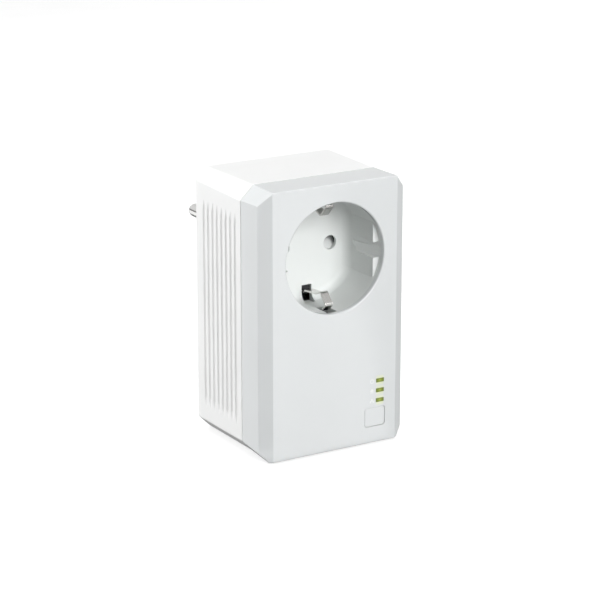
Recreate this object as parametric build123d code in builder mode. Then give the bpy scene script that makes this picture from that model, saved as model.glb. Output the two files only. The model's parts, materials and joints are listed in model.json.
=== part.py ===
from build123d import *
import os

# Powerline adapter: a mains plug on the back, a guarded earthed socket through the front, and
# a network port underneath, with its electronics in the lower half of the case.
# Millimetres. +X is right, seen from the front, +Z is up, and the front face looks along -Y.
# The origin is under the middle of the whole object, on the surface that it stands on.

os.makedirs("parts", exist_ok=True)

# ---- driving dimensions ----
width = 58.4
height = 96.0
body_depth = 46.4
cover_depth = 14.25
wall = 2.0
bevel_width = 4.25
bevel_depth = 3.0
front_corner = (4.5, 3.0)      # 45 degree cuts on the long edges: upper, lower
seam_corner = (5.0, 4.4)
back_corner = (4.2, 4.2)
cavity_corner = 3.9

socket_z = 69.7                # socket and plug share this axis
recess_radius = 19.7
recess_depth = 19.3
floor_thickness = 1.2
pin_spread = 9.5               # half the pitch of the two mains pins
pin_radius = 2.4
pin_length = 19.0
shank_radius = 2.2             # the part of each pin that the plug's base holds
pin_hole_radius = 2.6

standoff = 1.5
boss_radius = 18.2
boss_length = 17.5

board_depth = 24.0             # front face of the main board
board_thickness = 1.6
panel_depth = 8.0              # front face of the small indicator board
panel_thickness = 1.2

window_x = 18.55
window_heights = (22.8, 19.15, 15.5)
window_size = (3.35, 1.5)
icon_x = 15.25
icon_depth = 0.25
button_place = (16.45, 9.55)
button_size = (8.3, 6.9)
button_gap = 0.12

groove_count = 8
groove_pitch = 3.14
groove_first = 18.0            # depth of the foremost groove
groove_width = 2.0
groove_cut = 0.45
groove_length = 77.0
groove_run = 4.0               # length over which a groove's floor rises to its ends
groove_middle = 47.5

cover_screws_at = [(-23.5, 88.5), (23.5, 88.5), (-24.2, 33.0), (24.2, 33.0)]
board_screws_at = [(-22.3, 24.5), (22.3, 24.5), (0.0, 44.4)]
block_screws_at = [(-8.0, 79.5), (8.0, 79.5)]
panel_pegs_at = [(10.6, 25.0), (23.4, 5.0)]

# ---- worked out from them ----
half_width = width / 2
groove_radius = (groove_width**2 / 4 + groove_cut**2) / (2 * groove_cut)
total_depth = body_depth + standoff + boss_length + pin_length
front_y = -total_depth / 2
floor_back = recess_depth + floor_thickness
back_wall = body_depth - wall
boss_end = body_depth + standoff + boss_length
board_back = board_depth + board_thickness
edge_radius = 0.4              # outer edges of the front cover
shell_edge_radius = 0.9
seam_chamfer = 0.25            # both shells are chamfered where they meet
past = 1.0                     # how far cutting shapes run past the faces that they cut


def facing(depth):
    """A plane that faces the front, that far behind the front face: x right, y up."""
    return Plane.XZ.offset(-(front_y + depth))


def block(x, z, depth, size_x, size_z, thickness, mode=Mode.ADD):
    """A box centred on x and z that runs back from depth."""
    with Locations((x, front_y + depth, z)):
        Box(size_x, thickness, size_z, align=(Align.CENTER, Align.MIN, Align.CENTER), mode=mode)


def rod(x, z, depth, radius, length, mode=Mode.ADD):
    """A round bar centred on x and z that runs back from depth."""
    with BuildSketch(facing(depth)) as section:
        with Locations((x, z)):
            Circle(radius)
    extrude(section.sketch, amount=-length, mode=mode)


def case_prism(depth, length, inset, corner, mode, side_inset=None):
    """The case's outline, drawn in by inset, with 45 degree corners, run back from depth."""
    with BuildSketch(facing(depth)) as outline:
        with Locations((0, height / 2)):
            Rectangle(width - 2 * (side_inset or inset), height - 2 * inset)
        chamfer(outline.vertices(), corner)
    extrude(outline.sketch, amount=-length, mode=mode)


def cut_long_edges(start, end, start_cuts, end_cuts):
    """Cut the case's four long edges at 45 degrees, tapering between two depths."""
    for side in (-1, 1):
        for which, edge_z, up in ((0, height, -1), (1, 0, 1)):
            ends = []
            for depth, cut in ((start, start_cuts[which]), (end, end_cuts[which])):
                with BuildSketch(facing(depth)) as corner:
                    Polygon(
                        (side * (half_width - cut - past), edge_z - up * past),
                        (side * (half_width + past), edge_z + up * (cut + past)),
                        (side * (half_width + past), edge_z - up * past),
                        align=None,
                    )
                ends.append(corner.sketch)
            loft(ends, ruled=True, mode=Mode.SUBTRACT)


def screw(x, z, head_depth, head_radius, head_height, radius, length, forward):
    """A pan-head screw. forward is true where it is driven towards the front."""
    if forward:
        rod(x, z, head_depth, head_radius, head_height)
        rod(x, z, head_depth - length, radius, length)
        slot_depth = head_depth + head_height / 2
    else:
        rod(x, z, head_depth - head_height, head_radius, head_height)
        rod(x, z, head_depth, radius, length)
        slot_depth = head_depth - head_height
    for turn in (0, 90):
        with BuildSketch(facing(slot_depth)) as slot:
            with Locations((x, z)):
                Rectangle(head_radius * 1.2, head_radius * 0.28, rotation=turn)
        extrude(slot.sketch, amount=-head_height / 2, mode=Mode.SUBTRACT)


def icon(shape):
    """One of the three status symbols, about 1.8 mm across, round its own centre."""
    if shape == 0:
        Circle(0.85)
        Circle(0.55, mode=Mode.SUBTRACT)
        with Locations((0, 0.7)):
            Rectangle(0.75, 0.8, mode=Mode.SUBTRACT)
        with Locations((0, 0.55)):
            Rectangle(0.3, 0.9)
    elif shape == 1:
        Polygon((-0.9, 0), (0, 0.9), (0.9, 0), (0.55, 0), (0.55, -0.8), (-0.55, -0.8),
                (-0.55, 0), align=None)
        with Locations((0, -0.5)):
            Rectangle(0.36, 0.6, mode=Mode.SUBTRACT)
    else:
        for x in (-0.6, 0.6):
            with Locations((x, -0.45)):
                Rectangle(0.6, 0.6)
        with Locations((0, 0.5)):
            Rectangle(0.6, 0.6)
        with Locations((0, 0)):
            Rectangle(1.5, 0.3)
        with Locations((0, 0.15)):
            Rectangle(0.3, 0.4)


def icons(mode):
    """The three symbols, run back from the front face."""
    for shape, z in enumerate(window_heights):
        place = facing(0)
        place.origin += Vector(icon_x, 0, z)
        with BuildSketch(place) as symbol:
            icon(shape)
        extrude(symbol.sketch, amount=-icon_depth, mode=mode)


# ---- case ----
seam_lip = 1.6
lip_inset = 1.05
cover_boss_radius = 2.9
screw_shank = 1.42

with BuildPart() as front_cover:
    with BuildSketch(Plane.XY):
        with BuildLine():
            Polyline(
                (-half_width, front_y + cover_depth),
                (-half_width, front_y + bevel_depth),
                (-half_width + bevel_width, front_y),
                (half_width - bevel_width, front_y),
                (half_width, front_y + bevel_depth),
                (half_width, front_y + cover_depth),
                close=True,
            )
        make_face()
    extrude(amount=height)
    cut_long_edges(0, cover_depth, front_corner, seam_corner)
    fillet([edge for edge in front_cover.edges() if edge.center().Y < front_y + cover_depth - 0.01],
           edge_radius)
    chamfer(front_cover.faces().sort_by(Axis.Y)[-1].edges(), seam_chamfer)
    case_prism(wall, bevel_depth - wall + past, wall, cavity_corner, Mode.SUBTRACT,
               side_inset=1.8 * wall)
    case_prism(bevel_depth + 0.6, cover_depth, wall, cavity_corner, Mode.SUBTRACT)
    case_prism(cover_depth - seam_lip, seam_lip + past, lip_inset, 4.5, Mode.SUBTRACT)
    for x, z in cover_screws_at:
        rod(x, z, wall - 0.5, cover_boss_radius, cover_depth - wall + 0.3)
        rod(x, z, 4.5, screw_shank, cover_depth, Mode.SUBTRACT)
    for x, z in panel_pegs_at:
        rod(x, z, wall - 0.5, 1.6, panel_depth - wall + 0.5)
        rod(x, z, panel_depth, 0.8, panel_thickness)
    rod(0, socket_z, -past, recess_radius, wall + 2 * past, Mode.SUBTRACT)
    fillet(front_cover.edges().filter_by(GeomType.CIRCLE)
           .filter_by(lambda edge: abs(edge.radius - recess_radius) < 0.01)
           .sort_by(Axis.Y)[0], 0.5)
    for z in window_heights:
        block(window_x, z, -past, *window_size, wall + 2 * past, Mode.SUBTRACT)
    with BuildSketch(facing(0)):
        with Locations(button_place):
            RectangleRounded(button_size[0] + 2 * button_gap, button_size[1] + 2 * button_gap, 1.15)
    extrude(amount=-(wall + past), mode=Mode.SUBTRACT)
    icons(Mode.SUBTRACT)
front_cover.part.label = "front_cover"
export_step(front_cover.part, "parts/front_cover.step")

well_radius = 3.8              # outside of the deep screw wells
well_bore = 2.8
screw_seat = 22.0
post_radius = 2.6
jack_size = (16.0, 13.4, 18.4)
jack_floor = 0.6
label_size = (40.0, 26.0)
label_z = 25.0
label_recess = 0.2
base_screw_circle = 20.6



def spindle(side, depth):
    """Half the section of the long spindle that cuts one side groove, and its axis."""
    line = Axis((side * (half_width - groove_cut + groove_radius), front_y + depth, 0), (0, 0, 1))
    shallow = groove_radius - groove_cut
    half = groove_length / 2
    with BuildSketch(Plane(origin=line.position, x_dir=(side, 0, 0), z_dir=(0, -1, 0))) as section:
        with Locations((0, side * groove_middle)):
            Polygon((0, -half), (-shallow, -half), (-groove_radius, groove_run - half),
                    (-groove_radius, half - groove_run), (-shallow, half), (0, half), align=None)
    return section.sketch, line


with BuildPart() as rear_shell:
    block(0, height / 2, cover_depth, width, height, body_depth - cover_depth)
    cut_long_edges(cover_depth, body_depth, seam_corner, back_corner)
    fillet([edge for edge in rear_shell.edges() if edge.center().Y > front_y + cover_depth + 0.01],
           shell_edge_radius)
    chamfer(rear_shell.faces().sort_by(Axis.Y)[0].edges(), seam_chamfer)
    case_prism(cover_depth - seam_lip + 0.15, seam_lip, lip_inset + 0.1, 4.6, Mode.ADD)
    case_prism(cover_depth - seam_lip, back_wall - cover_depth + seam_lip, wall, cavity_corner,
               Mode.SUBTRACT)
    for side in (-1, 1):
        for i in range(groove_count):
            outline, axis_line = spindle(side, groove_first + i * groove_pitch)
            revolve(outline, axis=axis_line, mode=Mode.SUBTRACT)
    for x, z in cover_screws_at:
        rod(x, z, cover_depth, well_radius, back_wall - cover_depth + 0.5)
        rod(x, z, screw_seat, well_bore, body_depth, Mode.SUBTRACT)
        rod(x, z, cover_depth - past, 1.6, screw_seat, Mode.SUBTRACT)
    for x, z in board_screws_at:
        rod(x, z, board_back, post_radius, back_wall - board_back + 0.5)
        rod(x, z, board_back - past, 1.1, 9.0 + past, Mode.SUBTRACT)
    rod(0, socket_z, body_depth - 0.5, 24.0, standoff + 0.5)
    rod(0, socket_z, back_wall - past, boss_radius + 0.05, wall + standoff + 2 * past,
        Mode.SUBTRACT)
    with BuildSketch(facing(back_wall)):
        with Locations((0, socket_z)):
            with PolarLocations(base_screw_circle, 4, start_angle=45):
                Circle(1.1)
    extrude(amount=-(wall + standoff - 0.5), mode=Mode.SUBTRACT)
    block(0, label_z, body_depth - label_recess, label_size[0], label_size[1], past,
          Mode.SUBTRACT)
    block(0, wall / 2, board_back - 0.2, jack_size[0] + 0.6, wall + 2 * past, jack_size[1] + 0.5,
          Mode.SUBTRACT)
rear_shell.part.label = "rear_shell"
export_step(rear_shell.part, "parts/rear_shell.step")

with BuildPart() as cover_screws:
    for x, z in cover_screws_at:
        screw(x, z, screw_seat, 2.6, 2.0, 1.4, 16.5, forward=True)
cover_screws.part.label = "cover_screws"
export_step(cover_screws.part, "parts/cover_screws.step")

with BuildPart() as rating_label:
    block(0, label_z, body_depth - label_recess, label_size[0] - 0.4, label_size[1] - 0.4, 0.15)
    fillet(rating_label.edges().filter_by(Axis.Y), 1.0)
rating_label.part.label = "rating_label"
export_step(rating_label.part, "parts/rating_label.step")

with BuildPart() as status_icons:
    icons(Mode.ADD)
status_icons.part.label = "status_icons"
export_step(status_icons.part, "parts/status_icons.step")

# ---- socket ----
clip_width = 3.0
clip_slot = 4.0
slot_inner = 14.0              # the earth clips' slots run between these two radii
slot_outer = 20.2
notch_outer = 23.5             # the wall is notched behind each clip's hook, to this radius
notch_back = 9.6
flat_half = 17.0               # the recess has flat sides behind this depth
flat_depth = 3.0
floor_fillet = 3.0
channel_width = 5.6            # a channel in each flat slopes in from the rim and runs out here
channel_end = 14.0
rib_width = 1.7                # the rib that stands in each channel
rib_half = 16.2
rib_end = 14.6
flange_radius = 24.0
block_boss_radius = 2.6
cage_back = 26.6               # the shutter's cage lies between the floor and this depth



def slab(thickness, corners):
    """The section, seen from above, of something that stands astride the socket's axis."""
    with BuildSketch(Plane.XY.offset(socket_z - thickness / 2)) as section:
        Polygon(*[(x, front_y + depth) for x, depth in corners], align=None)
    return section.sketch


with BuildPart() as socket_well:
    rod(0, socket_z, wall, recess_radius + wall, floor_back - wall)
    rod(0, socket_z, wall, flange_radius, 1.5)
    rod(0, socket_z, wall - past, recess_radius, recess_depth - wall + past, Mode.SUBTRACT)
    with BuildSketch(facing(flat_depth)) as sides:
        with Locations((0, socket_z)):
            Circle(recess_radius + 0.8)
            Rectangle(2 * flat_half, 3 * recess_radius, mode=Mode.SUBTRACT)
    extrude(sides.sketch, amount=-(recess_depth + 0.5 - flat_depth))
    corner = (socket_well.edges()
              .filter_by(lambda e: abs(e.center().Y - front_y - recess_depth) < 0.01)
              .filter_by(lambda e: e.length > 10))
    fillet(corner, floor_fillet)
    for side in (-1, 1):
        channel = slab(channel_width, [
            (side * recess_radius, wall),
            (side * flat_half, channel_end),
            (side * (flat_half - past), channel_end),
            (side * (flat_half - past), wall),
        ])
        extrude(channel, amount=channel_width, mode=Mode.SUBTRACT)
        rib = slab(rib_width, [
            (side * recess_radius, wall),
            (side * rib_half, rib_end),
            (side * (flat_half + 0.2), rib_end + 2.0),
            (side * (recess_radius + 0.8), rib_end + 2.0),
            (side * (recess_radius + 0.8), wall),
        ])
        extrude(rib, amount=rib_width)
        rod(side * pin_spread, socket_z, recess_depth - past, pin_hole_radius,
            floor_thickness + 2 * past, Mode.SUBTRACT)
        block(0, socket_z + side * (slot_inner + slot_outer) / 2, recess_depth - floor_fillet,
              clip_slot, slot_outer - slot_inner, floor_thickness + floor_fillet + past,
              Mode.SUBTRACT)
        block(0, socket_z + side * (notch_outer + recess_radius - past) / 2, wall + 0.25,
              clip_slot, notch_outer - recess_radius + past, notch_back - wall - 0.25,
              Mode.SUBTRACT)
    for x, z in block_screws_at:
        rod(x, z, floor_back - 0.5, block_boss_radius, cage_back - floor_back + 0.5)
        rod(x, z, floor_back + 0.5, 1.32, cage_back, Mode.SUBTRACT)
socket_well.part.label = "socket_well"
export_step(socket_well.part, "parts/socket_well.step")

shutter_top = 3.3              # above the pin holes' axis
shutter_bottom = -4.0
shutter_half = 13.2
wing_half = 3.5
cage_wall = 1.6
cage_clearance = 0.2
spring_seat_z = 55.0
spring_spread = 5.5
ramp_foot = 1.6

with BuildPart() as shutter:
    front = floor_back + 0.3
    back = cage_back - 0.3
    for side in (-1, 1):
        with BuildSketch(Plane.YZ.offset(side * pin_spread - wing_half)):
            with BuildLine():
                Polyline(
                    (front_y + front, socket_z + shutter_bottom),
                    (front_y + front, socket_z + shutter_bottom + ramp_foot),
                    (front_y + back - 0.9, socket_z + shutter_top),
                    (front_y + back, socket_z + shutter_top),
                    (front_y + back, socket_z + shutter_bottom),
                    close=True,
                )
            make_face()
        extrude(amount=2 * wing_half)
    block(0, socket_z + shutter_bottom + ramp_foot / 2, front, 2 * shutter_half, ramp_foot,
          back - front)
shutter.part.label = "shutter"
export_step(shutter.part, "parts/shutter.step")

spring_wire = 0.2
spring_length = socket_z + shutter_bottom - spring_seat_z
spring_middle = (floor_back + cage_back) / 2

with BuildPart() as shutter_springs:
    for x in (-spring_spread, spring_spread):
        centre = (x, front_y + spring_middle, spring_seat_z + spring_wire)
        with BuildLine() as coil:
            Helix(pitch=(spring_length - 2 * spring_wire) / 6, height=spring_length - 2 * spring_wire,
                  radius=1.6, center=centre)
        with BuildSketch(Plane(origin=coil.line @ 0, z_dir=coil.line % 0)):
            Circle(spring_wire)
        sweep(path=coil.line)
shutter_springs.part.label = "shutter_springs"
export_step(shutter_springs.part, "parts/shutter_springs.step")

block_half = shutter_half + cage_clearance + cage_wall
block_back = 38.4
pocket_front = 28.4

with BuildPart() as contact_block:
    block(0, socket_z, cage_back, 2 * block_half, 24.0, block_back - cage_back)
    cage_top = socket_z + shutter_top + cage_clearance
    cage_middle = (cage_top + spring_seat_z) / 2
    cage_height = cage_top - spring_seat_z
    block(0, cage_middle, floor_back, 2 * block_half, cage_height + 2 * cage_wall,
          cage_back - floor_back)
    block(0, cage_middle, floor_back - past, 2 * (shutter_half + cage_clearance), cage_height,
          cage_back - floor_back + past, Mode.SUBTRACT)
    for side in (-1, 1):
        rod(side * pin_spread, socket_z, cage_back - past, pin_hole_radius + 0.05, 4.0,
            Mode.SUBTRACT)
        block(side * pin_spread, socket_z, pocket_front, 7.0, 9.6, block_back, Mode.SUBTRACT)
    for x, z in block_screws_at:
        rod(x, z, cage_back - past, 1.5, block_back, Mode.SUBTRACT)
        rod(x, z, block_back - 2.2, 2.6, past + 2.2, Mode.SUBTRACT)
contact_block.part.label = "contact_block"
export_step(contact_block.part, "parts/contact_block.step")

with BuildPart() as contact_block_screws:
    for x, z in block_screws_at:
        screw(x, z, block_back - 2.2, 2.4, 1.7, 1.3, 14.5, forward=True)
contact_block_screws.part.label = "contact_block_screws"
export_step(contact_block_screws.part, "parts/contact_block_screws.step")

# Each mains contact is a strip folded into two leaves that pinch the pin, with a solder tag.
leaf = 0.5
contact_back = block_back + 0.35
tag_z = 57.0                   # lower end of the solder tags

for name, side in (("live_contact", 1), ("neutral_contact", -1)):
    with BuildPart() as contact:
        with BuildSketch(Plane.YZ.offset(side * pin_spread - 2.5)):
            for up in (1, -1):
                with BuildLine():
                    FilletPolyline(
                        (front_y + 28.9, socket_z + up * 3.4),
                        (front_y + 31.6, socket_z + up * 2.35),
                        (front_y + 36.8, socket_z + up * 3.4),
                        (front_y + contact_back, socket_z + up * 3.4),
                        (front_y + contact_back, socket_z),
                        radius=0.6,
                    )
                trace(line_width=leaf)
        extrude(amount=5.0)
        block(side * pin_spread, (socket_z - 3.0 + tag_z) / 2, contact_back - leaf / 2, 4.0,
              socket_z - 3.0 - tag_z, leaf)
    contact.part.label = name
    export_step(contact.part, f"parts/{name}.step")

# The earth clips spring outwards as a plug passes. Distances are from the socket's axis.
clip_thickness = 0.6
clip_root = (22.6, 18.1)
clip_bend = 1.0
clip_path = [clip_root, (20.6, 17.6), (18.0, 15.6), (10.6, 14.9), (7.8, 13.7), (4.1, 17.6),
             (6.6, 19.8)]

for name, up in (("upper_earth_clip", 1), ("lower_earth_clip", -1)):
    with BuildPart() as clip:
        with BuildSketch(Plane.YZ.offset(-clip_width / 2)):
            with BuildLine():
                FilletPolyline(*[(front_y + depth, socket_z + up * away)
                                 for depth, away in clip_path], radius=clip_bend)
            trace(line_width=clip_thickness)
        extrude(amount=clip_width)
    clip.part.label = name
    export_step(clip.part, f"parts/{name}.step")

strap_depth = 40.0
strap_thickness = 0.6

with BuildPart() as earth_strap:
    with BuildSketch(Plane.YZ.offset(-clip_width / 2)):
        with BuildLine():
            FilletPolyline(
                (front_y + clip_root[0] + 0.6, socket_z + 18.3),
                (front_y + strap_depth, socket_z + 18.3),
                (front_y + strap_depth, socket_z - 18.3),
                (front_y + clip_root[0] + 0.6, socket_z - 18.3),
                radius=1.2,
            )
        trace(line_width=strap_thickness)
    extrude(amount=clip_width)
earth_strap.part.label = "earth_strap"
export_step(earth_strap.part, "parts/earth_strap.step")

# ---- plug ----
base_flange = 2.0
flange_front = back_wall - base_flange
boss_bore = 14.0
end_wall = 3.0
channel_radius = 15.6          # bottom of the earth channels and of the side notches
sleeve_z = socket_z + 10.0     # female earth contact for an earth pin standing in a socket
sleeve_radius = 2.6
sleeve_length = 15.0
earth_strip = 0.8

with BuildPart() as plug_base:
    rod(0, socket_z, flange_front, 22.5, base_flange)
    rod(0, socket_z, flange_front, boss_radius, boss_end - flange_front)
    fillet(plug_base.faces().sort_by(Axis.Y)[-1].edges(), 1.2)
    rod(0, socket_z, flange_front - past, boss_bore, boss_end - end_wall - flange_front + past,
        Mode.SUBTRACT)
    rod(0, sleeve_z, boss_end - sleeve_length - 1.5, sleeve_radius + 1.8, sleeve_length)
    for side in (-1, 1):
        rod(side * pin_spread, socket_z, flange_front, 3.8, boss_end - flange_front - past)
    for side in (-1, 1):
        rod(side * pin_spread, socket_z, flange_front - past, shank_radius + 0.02,
            boss_end - flange_front + 2 * past, Mode.SUBTRACT)
        block(side * (channel_radius + 2), socket_z, body_depth + standoff, 4.0, 6.0, boss_length + past,
              Mode.SUBTRACT)
        block(0, socket_z + side * (channel_radius + 2), back_wall, 6.4, 4.0,
              boss_end - back_wall + past, Mode.SUBTRACT)
        block(0, socket_z + side * (channel_radius + earth_strip / 2), flange_front - past, 5.0,
              earth_strip + 0.1, base_flange + 2 * past, Mode.SUBTRACT)
    rod(0, sleeve_z, boss_end - sleeve_length, sleeve_radius + 0.5, sleeve_length + past,
        Mode.SUBTRACT)
    with BuildSketch(facing(flange_front - past)):
        with Locations((0, socket_z)):
            with PolarLocations(base_screw_circle, 4, start_angle=45):
                Circle(1.15)
    extrude(amount=-(base_flange + 2 * past), mode=Mode.SUBTRACT)
plug_base.part.label = "plug_base"
export_step(plug_base.part, "parts/plug_base.step")

with BuildPart() as plug_base_screws:
    for angle in (45, 135, 225, 315):
        place = Vector(base_screw_circle, 0).rotate(Axis.Z, angle)
        screw(place.X, socket_z + place.Y, flange_front, 1.8, 1.2, 1.08, 4.8, forward=False)
plug_base_screws.part.label = "plug_base_screws"
export_step(plug_base_screws.part, "parts/plug_base_screws.step")

for name, side in (("left_plug_pin", -1), ("right_plug_pin", 1)):
    with BuildPart() as pin:
        shank_start = contact_back + leaf / 2
        rod(side * pin_spread, socket_z, shank_start, shank_radius, boss_end - shank_start)
        rod(side * pin_spread, socket_z, boss_end, pin_radius, pin_length)
        fillet(pin.faces().sort_by(Axis.Y)[-1].edges(), 1.6)
    pin.part.label = name
    export_step(pin.part, f"parts/{name}.step")

for name, up in (("upper_plug_earth", 1), ("lower_plug_earth", -1)):
    with BuildPart() as strip:
        start = strap_depth + strap_thickness / 2
        block(0, socket_z + up * (channel_radius + earth_strip / 2), start, 4.6, earth_strip,
              boss_end - 0.5 - start)
        chamfer(strip.faces().sort_by(Axis.Y)[-1].edges().filter_by(Axis.X), 0.35)
    strip.part.label = name
    export_step(strip.part, f"parts/{name}.step")

with BuildPart() as plug_earth_sleeve:
    rod(0, sleeve_z, boss_end - sleeve_length, sleeve_radius + 0.5, sleeve_length)
    rod(0, sleeve_z, boss_end - sleeve_length + 0.5, sleeve_radius, sleeve_length, Mode.SUBTRACT)
plug_earth_sleeve.part.label = "plug_earth_sleeve"
export_step(plug_earth_sleeve.part, "parts/plug_earth_sleeve.step")

# ---- indicators and button ----
led_height = 0.9
guide_front = 3.2
stem_radius = 1.5
plunger_front = 4.15
plunger_radius = 1.7
switch_front = 4.9
button_flange = 0.8

with BuildPart() as indicator_board:
    block(16.5, 15.4, panel_depth, 16.4, 24.0, panel_thickness)
    for x, z in panel_pegs_at:
        rod(x, z, panel_depth - past, 0.85, panel_thickness + 2 * past, Mode.SUBTRACT)
indicator_board.part.label = "indicator_board"
export_step(indicator_board.part, "parts/indicator_board.step")

with BuildPart() as status_leds:
    for z in window_heights:
        block(window_x, z, panel_depth - led_height, 2.0, 1.25, led_height)
    chamfer(status_leds.faces().filter_by(Axis.Y).group_by(Axis.Y)[0].edges(), 0.2)
status_leds.part.label = "status_leds"
export_step(status_leds.part, "parts/status_leds.step")

with BuildPart() as light_guide:
    for z in window_heights:
        block(window_x, z, 0.0, window_size[0] - 0.1, window_size[1] - 0.1,
              panel_depth - led_height - 0.2)
    block(window_x, window_heights[1], guide_front, 4.6, 10.6, 1.4)
light_guide.part.label = "light_guide"
export_step(light_guide.part, "parts/light_guide.step")

with BuildPart() as pair_button:
    with BuildSketch(facing(0)):
        with Locations(button_place):
            RectangleRounded(*button_size, 1.0)
    extrude(amount=-(wall + 0.6))
    fillet(pair_button.faces().sort_by(Axis.Y)[0].edges(), 0.3)
    with BuildSketch(facing(wall + 0.05)):
        with Locations(button_place):
            RectangleRounded(button_size[0] + 1.0, button_size[1] + 0.8, 1.2)
    extrude(amount=-button_flange)
    rod(*button_place, wall + 0.6, stem_radius, plunger_front - 0.05 - wall - 0.6)
pair_button.part.label = "pair_button"
export_step(pair_button.part, "parts/pair_button.step")

with BuildPart() as switch_body:
    block(*button_place, switch_front, 6.2, 6.2, panel_depth - switch_front)
    rod(*button_place, switch_front - past, plunger_radius + 0.05, 1.3 + past, Mode.SUBTRACT)
    for x in (-1, 1):
        for z in (-1, 1):
            block(button_place[0] + x * 3.4, button_place[1] + z * 2.2, panel_depth - 0.4, 0.8,
                  0.7, 0.4)
switch_body.part.label = "switch_body"
export_step(switch_body.part, "parts/switch_body.step")

with BuildPart() as switch_plunger:
    rod(*button_place, plunger_front, plunger_radius, 1.6)
    fillet(switch_plunger.faces().sort_by(Axis.Y)[0].edges(), 0.2)
switch_plunger.part.label = "switch_plunger"
export_step(switch_plunger.part, "parts/switch_plunger.step")

# ---- boards ----
board_half = 25.5
board_low, board_high = 4.5, 47.8

with BuildPart() as main_board:
    middle = (board_low + board_high) / 2
    block(0, middle, board_depth, 2 * board_half, board_high - board_low, board_thickness)
    fillet(main_board.edges().filter_by(Axis.Y), 1.0)
    for side in (-1, 1):
        block(side * (board_half - 1.0), cover_screws_at[2][1], board_depth - past, 9.2, 8.8,
              board_thickness + 2 * past, Mode.SUBTRACT)
    for x, z in board_screws_at:
        rod(x, z, board_depth - past, 1.3, board_thickness + 2 * past, Mode.SUBTRACT)
main_board.part.label = "main_board"
export_step(main_board.part, "parts/main_board.step")

with BuildPart() as board_screws:
    for x, z in board_screws_at:
        screw(x, z, board_depth, 2.2, 1.5, 1.08, 8.5, forward=False)
board_screws.part.label = "board_screws"
export_step(board_screws.part, "parts/board_screws.step")

with BuildPart() as board_link:
    link_x, link_z, link_pins = 22.6, 15.0, 6
    panel_back = panel_depth + panel_thickness
    block(link_x, link_z, panel_back, 2.4, 2.0 * link_pins + 0.6, 2.5)
    for i in range(link_pins):
        z = link_z + 2.0 * (i - (link_pins - 1) / 2)
        block(link_x, z, panel_back, 0.6, 0.6, board_depth - panel_back)
board_link.part.label = "board_link"
export_step(board_link.part, "parts/board_link.step")

# ---- network port, opening downwards ----
jack_front = board_back
jack_skin = 0.3
port_width = 11.9
port_depth = 7.2
port_height = 13.0
port_back = jack_front + 11.2  # far side of the port, where its contacts lie

with BuildPart() as port_shield:
    with Locations((0, front_y + jack_front, jack_floor)):
        Box(*jack_size, align=(Align.CENTER, Align.MIN, Align.MIN))
        with Locations((0, jack_skin, -past)):
            Box(jack_size[0] - 2 * jack_skin, jack_size[1] - 2 * jack_skin,
                jack_size[2] - jack_skin + past, align=(Align.CENTER, Align.MIN, Align.MIN),
                mode=Mode.SUBTRACT)
port_shield.part.label = "port_shield"
export_step(port_shield.part, "parts/port_shield.step")

with BuildPart() as port_housing:
    with Locations((0, front_y + jack_front + jack_skin, jack_floor + 0.1)):
        Box(jack_size[0] - 2 * jack_skin, jack_size[1] - 2 * jack_skin,
            jack_size[2] - jack_skin - 0.1, align=(Align.CENTER, Align.MIN, Align.MIN))
    with BuildSketch(Plane.XY.offset(jack_floor)):
        with Locations((0, front_y + port_back - port_depth / 2)):
            Rectangle(port_width, port_depth)
        with Locations((0, front_y + port_back - port_depth - 0.7)):
            Rectangle(6.2, 1.6)
        with Locations((0, front_y + port_back - port_depth - 1.9)):
            Rectangle(3.4, 1.2)
    extrude(amount=port_height, mode=Mode.SUBTRACT)
port_housing.part.label = "port_housing"
export_step(port_housing.part, "parts/port_housing.step")

with BuildPart() as port_contacts:
    for i in range(8):
        x = 1.02 * (i - 3.5)
        with BuildSketch(Plane.YZ.offset(x - 0.2)):
            with BuildLine():
                FilletPolyline(
                    (front_y + port_back - 0.3, jack_floor + 3.0),
                    (front_y + port_back - 0.3, jack_floor + 4.4),
                    (front_y + port_back - 2.3, jack_floor + 11.6),
                    radius=0.6,
                )
            trace(line_width=0.35)
        extrude(amount=0.4)
port_contacts.part.label = "port_contacts"
export_step(port_contacts.part, "parts/port_contacts.step")

# ---- power supply and signal parts on the main board ----
with BuildPart() as transformer_core:
    core_x, core_z, core_size, core_depth = -10.6, 33.0, 16.4, 14.4
    core_front = board_depth - 1.2 - core_depth
    block(core_x, core_z, core_front + 3.4, core_size, core_size, core_depth - 6.8)
    for side in (-1, 1):
        block(core_x + side * 4.7, core_z, core_front, 3.4, core_size - 6.6, core_depth,
              Mode.SUBTRACT)
transformer_core.part.label = "transformer_core"
export_step(transformer_core.part, "parts/transformer_core.step")

with BuildPart() as transformer_coil:
    coil_x = core_size - 3.6
    coil_z = core_size - 6.8
    block(core_x, core_z, core_front, coil_x, coil_z, core_depth + 1.2)
    fillet(transformer_coil.edges().filter_by(Axis.Y), 0.6)
    block(core_x, core_z, core_front + 3.3, 6.1, core_size, core_depth - 6.6, Mode.SUBTRACT)
transformer_coil.part.label = "transformer_coil"
export_step(transformer_coil.part, "parts/transformer_coil.step")

with BuildPart() as bulk_capacitors:
    for x in (6.4, 16.9):
        rod(x, 40.2, board_depth - 15.5, 4.9, 15.5)
    fillet(bulk_capacitors.faces().filter_by(Axis.Y).group_by(Axis.Y)[0].edges(), 0.5)
    for x in (6.4, 16.9):
        for turn in (0, 90):
            with BuildSketch(facing(board_depth - 15.5)):
                with Locations((x, 40.2)):
                    Rectangle(6.4, 0.3, rotation=turn)
            extrude(amount=-0.2, mode=Mode.SUBTRACT)
bulk_capacitors.part.label = "bulk_capacitors"
export_step(bulk_capacitors.part, "parts/bulk_capacitors.step")

with BuildPart() as film_capacitor:
    block(-17.6, 12.0, board_back, 13.0, 6.0, 12.0)
    fillet(film_capacitor.edges().filter_by(Axis.Y), 0.6)
film_capacitor.part.label = "film_capacitor"
export_step(film_capacitor.part, "parts/film_capacitor.step")

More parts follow.
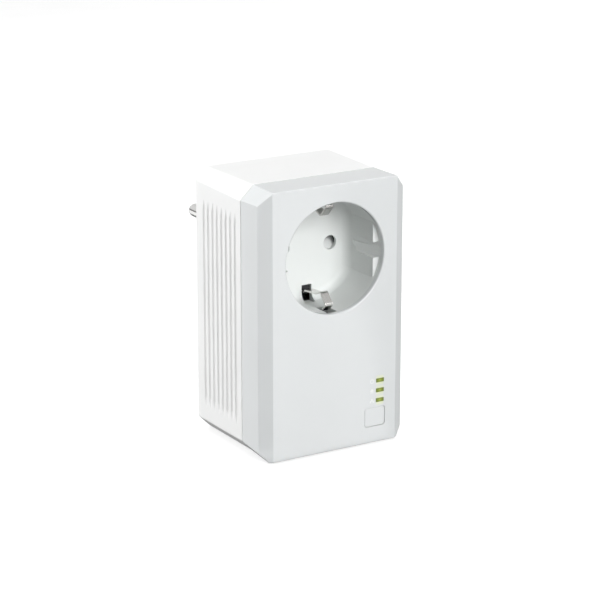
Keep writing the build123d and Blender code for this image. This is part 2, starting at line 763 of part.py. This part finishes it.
with BuildPart() as fuse:
    with BuildSketch(Plane.YZ.offset(-24.0)):
        with Locations((front_y + board_back + 2.6, 17.4)):
            Circle(1.9)
    extrude(amount=12.0)
    fillet(fuse.edges().filter_by(GeomType.CIRCLE), 0.4)
fuse.part.label = "fuse"
export_step(fuse.part, "parts/fuse.step")

with BuildPart() as varistor:
    with BuildSketch(Plane.XY.offset(38.0)):
        with Locations((-13.5, front_y + board_back + 5.6)):
            Circle(4.8)
    extrude(amount=3.8)
    fillet(varistor.edges().filter_by(GeomType.CIRCLE), 1.2)
    for x in (-15.5, -11.5):
        block(x, 39.9, board_back, 0.6, 0.6, 2.0)
varistor.part.label = "varistor"
export_step(varistor.part, "parts/varistor.step")

choke_x, choke_z = -13.0, 28.6
choke_front = board_back + 1.4

with BuildPart() as choke_core:
    rod(choke_x, choke_z, choke_front, 5.2, 4.6)
    rod(choke_x, choke_z, choke_front - past, 2.9, 4.6 + 2 * past, Mode.SUBTRACT)
choke_core.part.label = "choke_core"
export_step(choke_core.part, "parts/choke_core.step")

with BuildPart() as choke_winding:
    choke_middle = (choke_x, front_y + choke_front + 2.3, choke_z)
    for side in (-1, 1):
        with BuildSketch(Plane(choke_middle, x_dir=(side, 0, 0), z_dir=(0, 0, side))):
            with Locations((4.05, 0)):
                RectangleRounded(3.7, 6.0, 0.6)
                Rectangle(2.34, 4.64, mode=Mode.SUBTRACT)
        revolve(axis=Axis(choke_middle, (0, 1, 0)), revolution_arc=125)
choke_winding.part.label = "choke_winding"
export_step(choke_winding.part, "parts/choke_winding.step")

with BuildPart() as rectifier:
    block(6.0, 37.0, board_back + 0.1, 8.4, 6.0, 2.6)
    chamfer(rectifier.faces().sort_by(Axis.Y)[-1].edges(), 0.3)
    for x in (-1, 1):
        for z in (-1, 1):
            block(6.0 + x * 2.5, 37.0 + z * 3.5, board_back, 1.0, 1.0, 0.3)
rectifier.part.label = "rectifier"
export_step(rectifier.part, "parts/rectifier.step")

with BuildPart() as line_coupler:
    block(15.0, 26.0, board_back, 8.6, 7.6, 7.2)
    fillet(line_coupler.edges().filter_by(Axis.Y), 0.5)
    block(15.0, 26.0, board_back + 5.4, 6.0, 5.0, 3.0, Mode.SUBTRACT)
    rod(15.0, 26.0, board_back + 5.0, 1.6, 2.0)
line_coupler.part.label = "line_coupler"
export_step(line_coupler.part, "parts/line_coupler.step")

with BuildPart() as port_magnetics:
    block(0.0, 24.6, board_back + 0.2, 12.8, 7.0, 3.6)
    chamfer(port_magnetics.faces().sort_by(Axis.Y)[-1].edges(), 0.3)
    for i in range(8):
        for side in (-1, 1):
            block(1.27 * (i - 3.5), 24.6 + side * 4.1, board_back, 0.45, 1.3, 0.4)
port_magnetics.part.label = "port_magnetics"
export_step(port_magnetics.part, "parts/port_magnetics.step")

with BuildPart() as network_chip:
    block(8.0, 14.5, board_depth - 1.0, 12.0, 12.0, 1.0)
    chamfer(network_chip.faces().sort_by(Axis.Y)[0].edges(), 0.2)
network_chip.part.label = "network_chip"
export_step(network_chip.part, "parts/network_chip.step")

with BuildPart() as heat_sink:
    block(8.0, 14.5, board_depth - 2.6, 14.0, 14.0, 1.6)
    for i in range(6):
        block(8.0 + 2.6 * (i - 2.5), 14.5, board_depth - 7.6, 1.0, 14.0, 5.2)
heat_sink.part.label = "heat_sink"
export_step(heat_sink.part, "parts/heat_sink.step")

with BuildPart() as memory_chips:
    for z in (10.0, 18.6):
        block(-8.0, z, board_depth - 1.3, 8.0, 5.2, 1.2)
    chamfer(memory_chips.faces().filter_by(Axis.Y).group_by(Axis.Y)[0].edges(), 0.2)
    for z in (10.0, 18.6):
        for i in range(4):
            for side in (-1, 1):
                block(-8.0 + 1.27 * (i - 1.5), z + side * 3.0, board_depth - 0.4, 0.45, 0.9, 0.4)
memory_chips.part.label = "memory_chips"
export_step(memory_chips.part, "parts/memory_chips.step")

with BuildPart() as crystal:
    with BuildSketch(facing(board_depth - 3.4)):
        with Locations((-17.5, 12.0)):
            SlotOverall(10.0, 4.2)
    extrude(amount=-3.4)
    fillet(crystal.faces().sort_by(Axis.Y)[0].edges(), 0.5)
crystal.part.label = "crystal"
export_step(crystal.part, "parts/crystal.step")

# Insulated leads from the mains contacts' tags down to the main board.
lead_radius = 0.8

for name, side in (("live_lead", 1), ("neutral_lead", -1)):
    with BuildPart() as lead:
        x = side * pin_spread
        with BuildLine() as route:
            FilletPolyline(
                (x, front_y + contact_back, tag_z),
                (x, front_y + contact_back, 50.0),
                (x, front_y + 32.0, 45.0),
                (x, front_y + board_back, 45.0),
                radius=[4.5, 4.0],
            )
        with BuildSketch(Plane(origin=route.line @ 0, z_dir=route.line % 0)):
            Circle(lead_radius)
        sweep(path=route.line)
    lead.part.label = name
    export_step(lead.part, f"parts/{name}.step")
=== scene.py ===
import json
import math

import bmesh
import bpy
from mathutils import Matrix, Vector


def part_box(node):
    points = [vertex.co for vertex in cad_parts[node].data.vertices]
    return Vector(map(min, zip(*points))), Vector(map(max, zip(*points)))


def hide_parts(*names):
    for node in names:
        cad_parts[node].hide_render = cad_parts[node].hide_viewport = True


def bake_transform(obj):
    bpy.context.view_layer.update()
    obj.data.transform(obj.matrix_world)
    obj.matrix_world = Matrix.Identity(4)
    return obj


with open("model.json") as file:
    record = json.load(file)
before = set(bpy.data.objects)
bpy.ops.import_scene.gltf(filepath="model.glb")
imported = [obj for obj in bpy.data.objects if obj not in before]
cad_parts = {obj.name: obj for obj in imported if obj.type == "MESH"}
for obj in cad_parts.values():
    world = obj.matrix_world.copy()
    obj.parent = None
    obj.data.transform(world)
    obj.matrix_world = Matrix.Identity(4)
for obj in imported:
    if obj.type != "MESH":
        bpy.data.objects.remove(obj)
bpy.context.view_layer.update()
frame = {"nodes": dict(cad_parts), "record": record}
nodes = frame["nodes"]
slot_of = {s["node"]: s["material_slot"] for s in frame["record"]["subparts"]}

# ---- measures, in metres ----
# The three lamp windows in the front: the middle of the lowest, and the step from one to the next.
WINDOW_X, WINDOW_Z = 0.01855, 0.0155
WINDOW_STEP = 0.00365
WINDOW_HALF_WIDTH, WINDOW_HALF_HEIGHT = 0.0014, 0.0008
# The painted glow of the lamps on the cover round the windows, a yellow-green painted into its colour:
# where it starts, and how far it goes.
LAMP_SPILL_HALF_WIDTH, LAMP_SPILL_HALF_HEIGHT = 0.0010, 0.0007
LAMP_SPILL_REACH = 0.0014
# The label's printed border: how far in from the label's edge, and how wide.
BORDER_INSET = 0.0016
BORDER_INNER, BORDER_OUTER = 0.00014, 0.0002
# Where the studio's things stand. The floor lies just under the case, so that the two don't meet.
FLOOR_SIZE, FLOOR_Z = 6.0, -0.0003
CARD_Z = 0.0004
BACKDROP_RADIUS = 3.0
SKY_RADIUS, HORIZON = 2.8, 0.02
LAMP_DISTANCE = 1.0
LAMP_AIM = Vector((0, 0, 0.05))

# ---- numbers that the finishes share ----
# The lamp windows are counted upwards from 0.
TOP_ROW = 2.0
# Nearly all of a noise texture lies between these two values.
NOISE_LOW, NOISE_HIGH = 0.3, 0.7
# The bands of a wave texture of scale 1 are this far apart.
WAVE_STEP = 0.314


# ---- materials ----
# Every material made below, by its name. A CAD node wears the one named after its slot.
finishes = {}


class Tree:
    """A material's node tree with short ways to add what these finishes need."""

    def __init__(self, name):
        material = bpy.data.materials.new(name)
        material.use_nodes = True
        finishes[name] = material
        self.tree = material.node_tree
        self.shader = self.tree.nodes["Principled BSDF"]
        self.place = self.add("ShaderNodeTexCoord").outputs["Object"]

    def add(self, kind, **settings):
        node = self.tree.nodes.new(kind)
        for key, value in settings.items():
            setattr(node, key, value)
        return node

    def link(self, source, target):
        self.tree.links.new(source, target)

    def feed(self, socket, value):
        """Give a socket a number, a colour, or another socket's result."""
        if isinstance(value, tuple):
            socket.default_value = (*value, 1.0)
        elif isinstance(value, (int, float)):
            socket.default_value = value
        else:
            self.link(value, socket)

    def axes(self):
        """The place's X, Y and Z, each on its own."""
        node = self.add("ShaderNodeSeparateXYZ")
        self.link(self.place, node.inputs["Vector"])
        return node.outputs

    def stretched(self, scale=(1, 1, 1), turn=(0, 0, 0), shift=(0, 0, 0)):
        node = self.add("ShaderNodeMapping")
        self.link(self.place, node.inputs["Vector"])
        node.inputs["Scale"].default_value = scale
        node.inputs["Rotation"].default_value = turn
        node.inputs["Location"].default_value = shift
        return node.outputs["Vector"]

    def noise(self, scale, detail=2.0, where=None):
        node = self.add("ShaderNodeTexNoise")
        self.link(where or self.place, node.inputs["Vector"])
        node.inputs["Scale"].default_value = scale
        node.inputs["Detail"].default_value = detail
        return node.outputs["Fac"]

    def cells(self, scale):
        node = self.add("ShaderNodeTexVoronoi")
        self.link(self.place, node.inputs["Vector"])
        node.inputs["Scale"].default_value = scale
        return node.outputs["Distance"]

    def between(self, value, low, high, to_low=0.0, to_high=1.0):
        """A value that runs from low to high, made to run from to_low to to_high."""
        node = self.add("ShaderNodeMapRange")
        for key, number in (("Value", value), ("From Min", low), ("From Max", high),
                            ("To Min", to_low), ("To Max", to_high)):
            self.feed(node.inputs[key], number)
        return node.outputs["Result"]

    def uneven(self, noise, low=0.0, high=1.0):
        """A noise made to run from low to high."""
        return self.between(noise, NOISE_LOW, NOISE_HIGH, low, high)

    def blend(self, share, first, second):
        """A colour between two, each a tuple or a socket."""
        node = self.add("ShaderNodeMix", data_type="RGBA")
        self.link(share, node.inputs["Factor"])
        self.feed(node.inputs[6], first)
        self.feed(node.inputs[7], second)
        return node.outputs[2]

    def drifting(self, noise, colour, darker, lighter):
        """A colour that drifts between a darker and a lighter shade of itself."""
        return self.blend(self.uneven(noise), shade(colour, darker), shade(colour, lighter))

    def maths(self, operation, first, second=0.0):
        node = self.add("ShaderNodeMath", operation=operation)
        self.feed(node.inputs[0], first)
        self.feed(node.inputs[1], second)
        return node.outputs["Value"]

    def bump(self, height, distance, below=None):
        node = self.add("ShaderNodeBump")
        self.link(height, node.inputs["Height"])
        node.inputs["Distance"].default_value = distance
        if below:
            self.link(below, node.inputs["Normal"])
        return node.outputs["Normal"]

    def set(self, **values):
        for key, value in values.items():
            self.feed(self.shader.inputs[key.replace("_", " ")], value)


def shade(colour, factor):
    return tuple(min(1.0, c * factor) for c in colour)


def moulded(name, colour, rough, spread=0.04, vary=0.015, grain=1900.0, depth=4e-6, wave=None, **more):
    """Moulded plastic: faint colour drift, uneven gloss, and the fine texture of its mould."""
    t = Tree(name)
    patches = t.noise(94.5, 4.0, t.stretched(shift=(0.31, 0.17, 0.05)))
    normal = t.bump(t.noise(grain), depth)
    if wave:
        wave_scale, wave_depth = wave
        normal = t.bump(t.noise(wave_scale, 1.0), wave_depth, below=normal)
    t.set(Base_Color=t.drifting(t.noise(35.0, 3.0), colour, 1 - vary, 1 + vary),
          Roughness=t.uneven(patches, rough - spread, rough + spread), Normal=normal, **more)


def metal(name, colour, rough, along=(1, 1, 1), spread=0.08, scratches=0.5, depth=2e-6, dull=0.88):
    """Plated or rolled metal: streaks along the way that it was drawn, and small dull patches."""
    t = Tree(name)
    streaks = t.noise(900.0, 4.0, t.stretched(along))
    tarnish = t.noise(160.0, 4.0)
    mixed = t.maths("ADD", t.maths("MULTIPLY", streaks, scratches),
                    t.maths("MULTIPLY", tarnish, 1 - scratches))
    t.set(Base_Color=t.blend(t.between(mixed, 0.35, 0.65), shade(colour, dull), shade(colour, 1.04)),
          Metallic=1.0, Roughness=t.uneven(streaks, rough - spread, rough + spread),
          Normal=t.bump(streaks, depth))


def from_windows(t):
    """Two distances, across and up, from the middle of the nearest of the three lamp windows."""
    axes = t.axes()
    across = t.maths("ABSOLUTE", t.maths("SUBTRACT", axes["X"], WINDOW_X))
    above = t.maths("SUBTRACT", axes["Z"], WINDOW_Z)
    nearest = t.maths("ROUND", t.maths("DIVIDE", above, WINDOW_STEP))
    row = t.maths("MINIMUM", t.maths("MAXIMUM", nearest, 0.0), TOP_ROW)
    up = t.maths("ABSOLUTE", t.maths("SUBTRACT", above, t.maths("MULTIPLY", row, WINDOW_STEP)))
    return across, up


def lens(name, colour, lit_colour, glow_level):
    """The lamp windows: tinted clear plastic with light behind the middle of each."""
    t = Tree(name)
    cloud = t.noise(700.0, 3.0)
    across, up = from_windows(t)
    lit = t.maths("MULTIPLY", t.between(across, 0.0, WINDOW_HALF_WIDTH, 1.0, 0.0),
                  t.between(up, 0.0, WINDOW_HALF_HEIGHT, 1.0, 0.3))
    t.set(Base_Color=t.drifting(cloud, colour, 0.92, 1.08),
          Roughness=t.uneven(t.noise(1500.0), 0.14, 0.24), Normal=t.bump(cloud, 6e-6),
          Emission_Color=lit_colour, Emission_Strength=t.maths("MULTIPLY", lit, glow_level))


def cover(name, colour, painted_glow_colour):
    """Glossy cover plastic, with the lamps' glow round their windows painted into its colour."""
    t = Tree(name)
    across, up = from_windows(t)
    # The painted glow reaches less far sideways than up and down.
    beyond = t.maths("MAXIMUM", t.maths("SUBTRACT", across, LAMP_SPILL_HALF_WIDTH), 0.0)
    beyond = t.maths("MULTIPLY", beyond, 1.6)
    over = t.maths("MAXIMUM", t.maths("SUBTRACT", up, LAMP_SPILL_HALF_HEIGHT), 0.0)
    away = t.maths("SQRT", t.maths("ADD", t.maths("MULTIPLY", beyond, beyond),
                                   t.maths("MULTIPLY", over, over)))
    # Painted glow: the cover's colour turns yellow-green near the windows, standing in for the lamps'
    # light spilling into it.
    painted_glow = t.between(away, 0.0, LAMP_SPILL_REACH, 0.7, 0.0)
    grain = t.bump(t.noise(900.0), 4e-7)
    t.set(Base_Color=t.blend(painted_glow, t.drifting(t.noise(30.0, 3.0), colour, 0.985, 1.015), painted_glow_colour),
          Roughness=t.uneven(t.noise(90.0, 4.0), 0.08, 0.13),
          Normal=t.bump(t.noise(75.0, 1.0), 6e-6, below=grain), Coat_Weight=0.25, Coat_Roughness=0.04)


def laminate(name, dark, light, copper):
    """Solder mask over copper tracks, with small plated holes."""
    t = Tree(name)
    bricks = t.add("ShaderNodeTexBrick", offset=0.37)
    t.link(t.stretched(turn=(math.radians(90), 0, 0)), bricks.inputs["Vector"])
    for key, value in (("Scale", 260.0), ("Mortar Size", 0.035), ("Mortar Smooth", 0.1),
                       ("Brick Width", 0.9), ("Row Height", 0.35)):
        bricks.inputs[key].default_value = value
    tracks = bricks.outputs["Fac"]
    mask = t.blend(tracks, dark, light)
    t.set(Base_Color=t.blend(t.between(t.cells(420.0), 0.16, 0.2), copper, mask),
          Roughness=t.uneven(t.noise(300.0, 3.0), 0.26, 0.4),
          Normal=t.bump(tracks, 3e-5, below=t.bump(t.noise(2200.0), 5e-6)))


def wound(name, colour, pitch, across, rough, metallic=0.0):
    """Wire or tape wound in turns: fine ridges at the pitch, in metres, along one axis, with painted
    shade between the turns and a painted highlight on them.
    """
    t = Tree(name)
    wave = t.add("ShaderNodeTexWave", bands_direction=across)
    t.link(t.place, wave.inputs["Vector"])
    wave.inputs["Scale"].default_value = WAVE_STEP / pitch
    wave.inputs["Distortion"].default_value = 0.4
    ridges_and_painted_shade = wave.outputs["Fac"]
    # Painted shade and highlight: the colour darkens in the grooves between turns and lightens on
    # their crests, beside the bumped ridges.
    t.set(Base_Color=t.blend(ridges_and_painted_shade, shade(colour, 0.55), shade(colour, 1.1)),
          Roughness=t.uneven(t.noise(800.0, 3.0), rough - 0.06, rough + 0.06),
          Normal=t.bump(ridges_and_painted_shade, pitch * 0.25), Metallic=metallic)


def film(name, low, high, ink, paper_dark, paper_light):
    """A blank label: satin film with a thin printed border."""
    t = Tree(name)
    axes = t.axes()
    insets = []
    for axis, a, b in (("X", low.x, high.x), ("Z", low.z, high.z)):
        middle, half = (a + b) / 2, (b - a) / 2 - BORDER_INSET
        off_middle = t.maths("ABSOLUTE", t.maths("SUBTRACT", axes[axis], middle))
        insets.append(t.maths("SUBTRACT", half, off_middle))
    inside = t.maths("ABSOLUTE", t.maths("MINIMUM", *insets))
    paper = t.blend(t.uneven(t.noise(180.0, 4.0)), paper_dark, paper_light)
    t.set(Base_Color=t.blend(t.between(inside, BORDER_INNER, BORDER_OUTER), ink, paper),
          Roughness=t.uneven(t.noise(500.0, 3.0), 0.3, 0.42), Normal=t.bump(t.noise(1600.0), 3e-6))


label_low, label_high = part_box("rating_label")
moulded("case_plastic", (0.86, 0.865, 0.86), 0.36, wave=(160.0, 6e-6))
# The cover's colour carries a painted yellow-green glow round the lamp windows.
cover("cover_plastic", (0.70, 0.72, 0.725), painted_glow_colour=(0.80, 0.85, 0.48))
moulded("socket_plastic", (0.70, 0.72, 0.71), 0.42, spread=0.015, vary=0.008,
        Specular_IOR_Level=0.3)
lens("lamp_lens", (0.15, 0.19, 0.03), lit_colour=(0.52, 0.62, 0.1), glow_level=0.42)
moulded("icon_ink", (0.77, 0.785, 0.785), 0.35, grain=3000.0, depth=5e-6)
film("label_film", label_low, label_high, ink=(0.16, 0.17, 0.18),
     paper_dark=(0.62, 0.63, 0.64), paper_light=(0.68, 0.69, 0.7))
metal("nickel_plate", (0.92, 0.915, 0.905), 0.12, along=(1, 0.06, 1), spread=0.04,
      scratches=0.85, depth=2e-7, dull=0.95)
metal("nickel_strip", (0.66, 0.65, 0.63), 0.2, along=(1, 0.05, 0.05), spread=0.04,
      scratches=0.85, depth=1.5e-7, dull=0.96)
metal("contact_brass", (0.68, 0.47, 0.18), 0.28, along=(0.1, 1, 1))
metal("spring_steel", (0.42, 0.42, 0.43), 0.3)
metal("screw_steel", (0.5, 0.5, 0.52), 0.34)
metal("gold_plate", (0.85, 0.62, 0.25), 0.18, along=(1, 0.1, 0.1))
metal("sink_aluminium", (0.5, 0.51, 0.54), 0.4, along=(0.08, 1, 1))
metal("can_steel", (0.6, 0.6, 0.6), 0.26, along=(0.1, 1, 1))
laminate("board_laminate", dark=(0.012, 0.085, 0.035), light=(0.03, 0.16, 0.06),
         copper=(0.55, 0.55, 0.5))
wound("winding_tape", (0.62, 0.43, 0.03), 0.0012, "Y", 0.4)
wound("copper_wire", (0.45, 0.14, 0.035), 0.0007, "DIAGONAL", 0.3, metallic=0.6)
moulded("black_plastic", (0.022, 0.022, 0.024), 0.5, vary=0.2, grain=1400.0, depth=1.2e-5)
moulded("led_plastic", (0.75, 0.8, 0.62), 0.2, grain=1200.0)
moulded("switch_plastic", (0.5, 0.47, 0.4), 0.45, grain=1500.0, depth=8e-6)
moulded("ferrite", (0.028, 0.028, 0.031), 0.62, vary=0.35, grain=2600.0, depth=2.5e-5)
moulded("capacitor_sleeve", (0.012, 0.017, 0.05), 0.28, vary=0.15, grain=900.0, depth=1e-5)
moulded("film_case", (0.5, 0.36, 0.02), 0.35, vary=0.05, grain=1300.0, depth=1e-5)
moulded("varistor_coat", (0.012, 0.07, 0.3), 0.3, vary=0.12, grain=700.0, depth=3e-5)
moulded("fuse_ceramic", (0.66, 0.63, 0.56), 0.3, vary=0.04, grain=1100.0, depth=8e-6)
moulded("live_insulation", (0.085, 0.03, 0.012), 0.42, vary=0.1, grain=1000.0, depth=1e-5)
moulded("neutral_insulation", (0.012, 0.05, 0.32), 0.42, vary=0.1, grain=1000.0, depth=1e-5)
for name, node in nodes.items():
    node.data.materials.clear()
    node.data.materials.append(finishes[slot_of[name]])

# The shutter's springs, which the real shutter squeezes as it slides, are copied here into one still
# object, spring_coils, and the CAD node is hidden.
coils = nodes["shutter_springs"].copy()
coils.data = coils.data.copy()
coils.name = "spring_coils"
bpy.context.scene.collection.objects.link(coils)
coils.parent = None
coils.matrix_world = nodes["shutter_springs"].matrix_world.copy()
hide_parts("shutter_springs")
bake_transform(coils)


# ---- floor and what the gloss mirrors ----
def glow(name, strength):
    """A plain white glowing material for the backdrop, the sky and the cards."""
    material = bpy.data.materials.new(name)
    material.use_nodes = True
    tree = material.node_tree
    light = tree.nodes.new("ShaderNodeEmission")
    light.inputs["Strength"].default_value = strength
    tree.links.new(light.outputs["Emission"], tree.nodes["Material Output"].inputs["Surface"])
    return material


def only_seen(thing, **by):
    """Leave a thing visible to the named kinds of ray alone."""
    for kind in ("camera", "diffuse", "glossy", "transmission", "shadow"):
        setattr(thing, "visible_" + kind, by.get(kind, False))


def sphere(name, radius, material):
    bpy.ops.mesh.primitive_uv_sphere_add(segments=48, ring_count=24, radius=radius)
    ball = bpy.context.object
    ball.name = name
    ball.data.materials.append(material)
    return ball


def card(name, strength, corners):
    """A flat glowing card on the floor, seen only in the gloss of other things."""
    sheet = bpy.data.meshes.new(name)
    sheet.from_pydata([(x, y, CARD_Z) for x, y in corners], [], [tuple(range(len(corners)))])
    flat = bpy.data.objects.new(name, sheet)
    only_seen(flat, glossy=True)
    bpy.context.scene.collection.objects.link(flat)
    flat.data.materials.append(glow(name + "_paper", strength))
    return flat


# The floor glows to stay white, but neither lights the object nor shows in its gloss.
bpy.ops.mesh.primitive_grid_add(x_subdivisions=8, y_subdivisions=8, size=FLOOR_SIZE)
floor = bpy.context.object
floor.name = "floor"
floor.location.z = FLOOR_Z
ground = Tree("floor_paper")
patches = ground.uneven(ground.noise(6.0, 3.0))
ground.set(Base_Color=ground.blend(patches, (0.42, 0.42, 0.42), (0.44, 0.44, 0.44)),
           Roughness=ground.uneven(ground.noise(20.0, 3.0), 0.2, 0.26),
           Normal=ground.bump(ground.noise(400.0), 1e-6),
           Emission_Color=(1.0, 1.0, 1.0), Emission_Strength=0.66)
floor.data.materials.append(finishes["floor_paper"])
floor.visible_diffuse = floor.visible_glossy = False

backdrop = sphere("backdrop", BACKDROP_RADIUS, glow("backdrop_paper", 1.0))
only_seen(backdrop, camera=True)

# The gloss mirrors a white sky above the horizon and two white cards on the floor. The straight
# edge of the card in front shows as the faint line down the front cover, and the card beside the
# left side brightens the side bevel.
sky = sphere("sky", SKY_RADIUS, glow("sky_cloth", 0.68))
only_seen(sky, glossy=True)
dome = bmesh.new()
dome.from_mesh(sky.data)
bmesh.ops.delete(dome, geom=[v for v in dome.verts if v.co.z < HORIZON], context="VERTS")
dome.to_mesh(sky.data)
dome.free()

cards = [
    card("gloss_card", 1.25, ((0.024, -0.044), (0.235, -0.428), (0.125, -0.428), (-0.038, -0.044))),
    card("side_card", 0.95, ((-0.031, -0.05), (-0.031, 0.7), (-0.6, 0.7), (-0.6, -0.05))),
]

# ---- lights ----
world = bpy.data.worlds.new("studio")
world.use_nodes = True
background = world.node_tree.nodes["Background"]
background.inputs["Color"].default_value = (1.0, 1.0, 1.0, 1.0)
background.inputs["Strength"].default_value = 0.16
bpy.context.scene.world = world
bpy.context.scene.view_settings.view_transform = "Standard"


def stand(thing, location, forward):
    """Put a lamp or a camera in the scene, looking along forward."""
    thing.location = location
    thing.rotation_mode = "QUATERNION"
    thing.rotation_quaternion = forward.to_track_quat("-Z", "Y")
    bpy.context.scene.collection.objects.link(thing)


def panel(name, direction, size, level):
    """A soft square lamp. level is the brightness that it gives a white face turned to it."""
    light = bpy.data.lights.new(name, "AREA")
    light.size = size
    light.energy = level * (math.pi * LAMP_DISTANCE) ** 2
    lamp = bpy.data.objects.new(name, light)
    towards = Vector(direction).normalized()
    stand(lamp, LAMP_AIM + towards * LAMP_DISTANCE, -towards)


panel("front_lamp", (0.09, -0.93, 0.34), 0.7, 1.08)
panel("left_lamp", (-0.85, 0.5, 0.2), 0.7, 1.05)
panel("top_lamp", (-0.25, 0.35, 0.9), 0.6, 0.48)
panel("right_lamp", (0.88, 0.42, 0.2), 0.7, 0.45)

# ---- camera ----
camera_data = bpy.data.cameras.new("camera")
camera_data.lens = 142.8
camera_data.sensor_width = 36.0
camera_data.clip_start, camera_data.clip_end = 0.05, 20.0
camera = bpy.data.objects.new("camera", camera_data)
# It stands off from its target by the distance, turned by yaw and tipped down by pitch, in radians.
yaw, pitch, distance = 0.54093, 0.29353, 0.8343
target = Vector((-0.00247, -0.02261, 0.05035))
forward = Vector((math.sin(yaw) * math.cos(pitch), math.cos(yaw) * math.cos(pitch), -math.sin(pitch)))
stand(camera, target - forward * distance, forward)
bpy.context.scene.camera = camera
